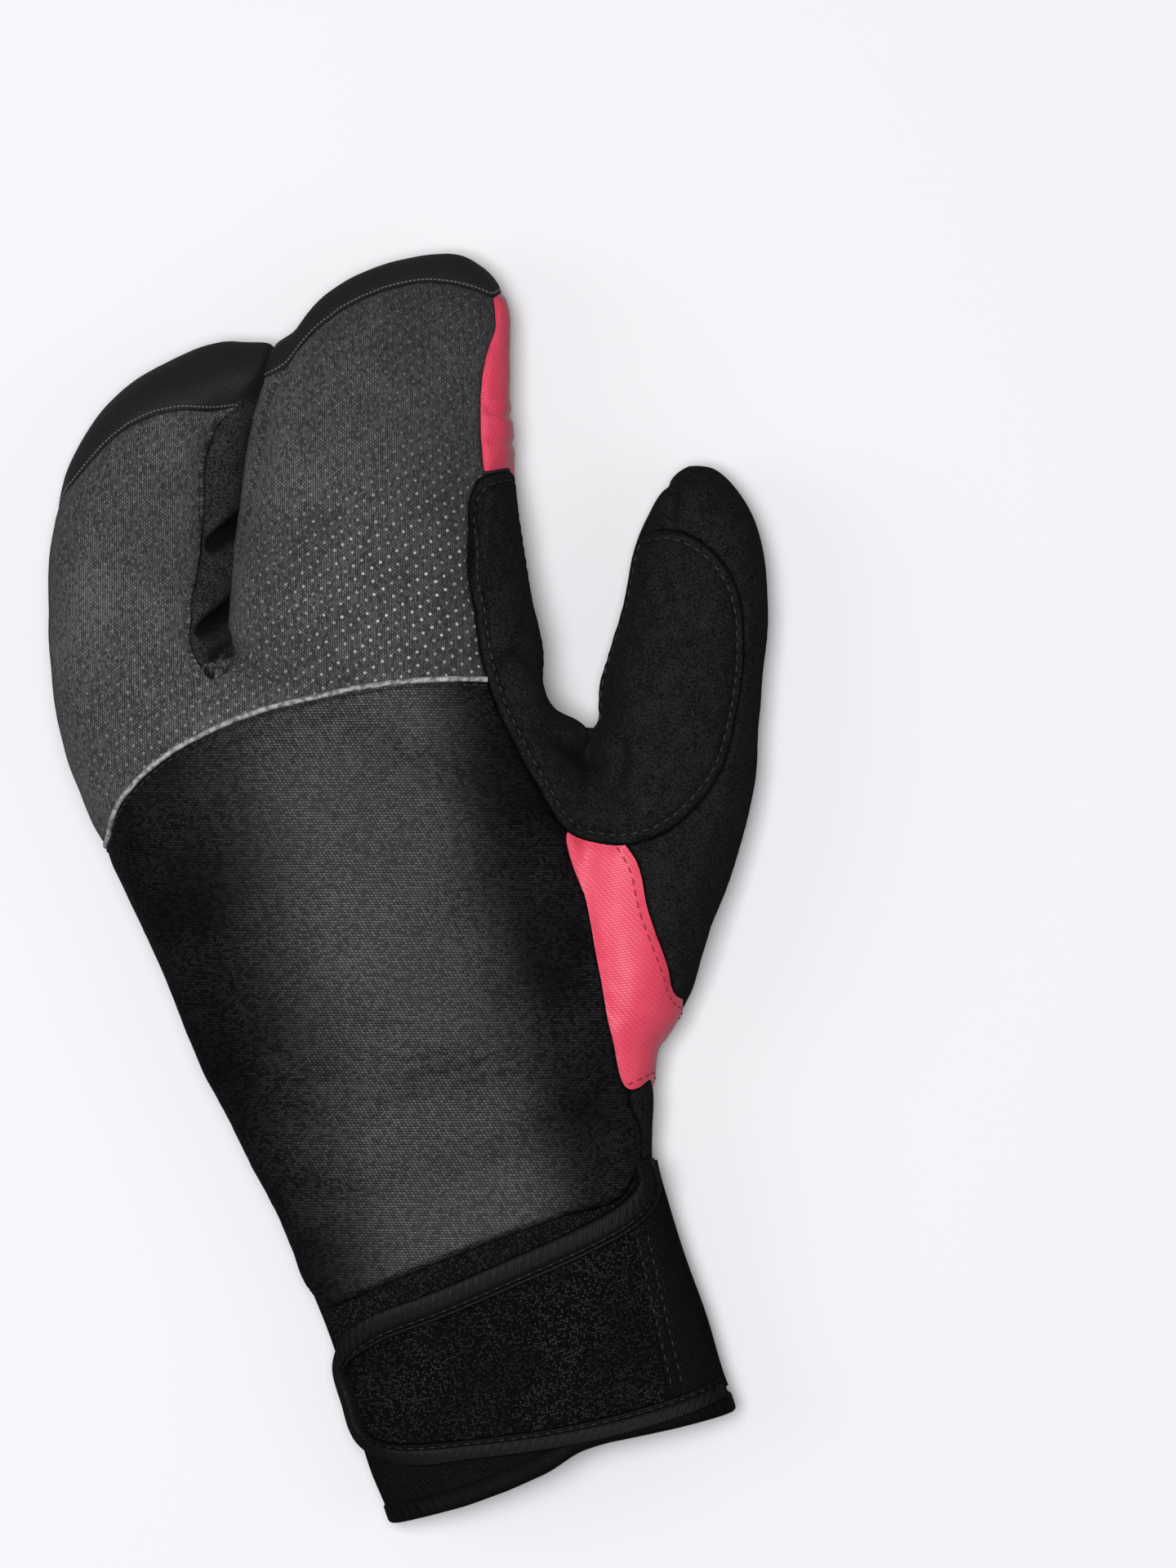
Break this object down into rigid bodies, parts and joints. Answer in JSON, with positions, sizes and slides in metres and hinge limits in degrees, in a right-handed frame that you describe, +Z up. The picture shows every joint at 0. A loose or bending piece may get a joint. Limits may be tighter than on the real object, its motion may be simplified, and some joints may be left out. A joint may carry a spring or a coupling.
{
  "type": "lobster claw mitt",
  "caption": "Padded winter mitt for a left hand, with a thumb, an index compartment and one for the other fingers, and a strapped cuff.",
  "frame": {"origin": "middle of the mitt's outline seen from above, on the surface that the palm rests on", "axes": "+Y from the cuff to the finger tips, +X to the thumb, +Z up out of the back of the hand"},
  "size_m": [0.1684, 0.2858, 0.042],
  "materials": {
    "knit": "dark grey bonded knit with small light fleece points",
    "twill": "near black twill softshell with a slight sheen",
    "piping": "light grey reflective piping",
    "cap_knit": "black fine knit",
    "satin": "pink satin weave",
    "suede": "near black brushed synthetic suede",
    "cuff_knit": "black stretch knit over neoprene",
    "tape": "black ribbed binding tape",
    "loop_pile": "black loop pile"
  },
  "bodies": {
    "root": {"finger_panel": "knit", "back_panel": "twill", "knuckle_piping": "piping", "cap_outer": "cap_knit", "cap_index": "cap_knit", "index_accent": "satin", "wrist_accent": "satin", "finger_gusset": "suede", "thumb_saddle": "suede", "thumb_side": "suede", "thumb_inner": "suede", "palm_fingers": "suede", "palm_heel": "suede", "cuff": "cuff_knit", "cuff_binding": "tape", "strap": "loop_pile", "strap_root": "cuff_knit", "strap_tape_upper": "tape", "strap_tape_lower": "tape"}
  },
  "joints": []
}
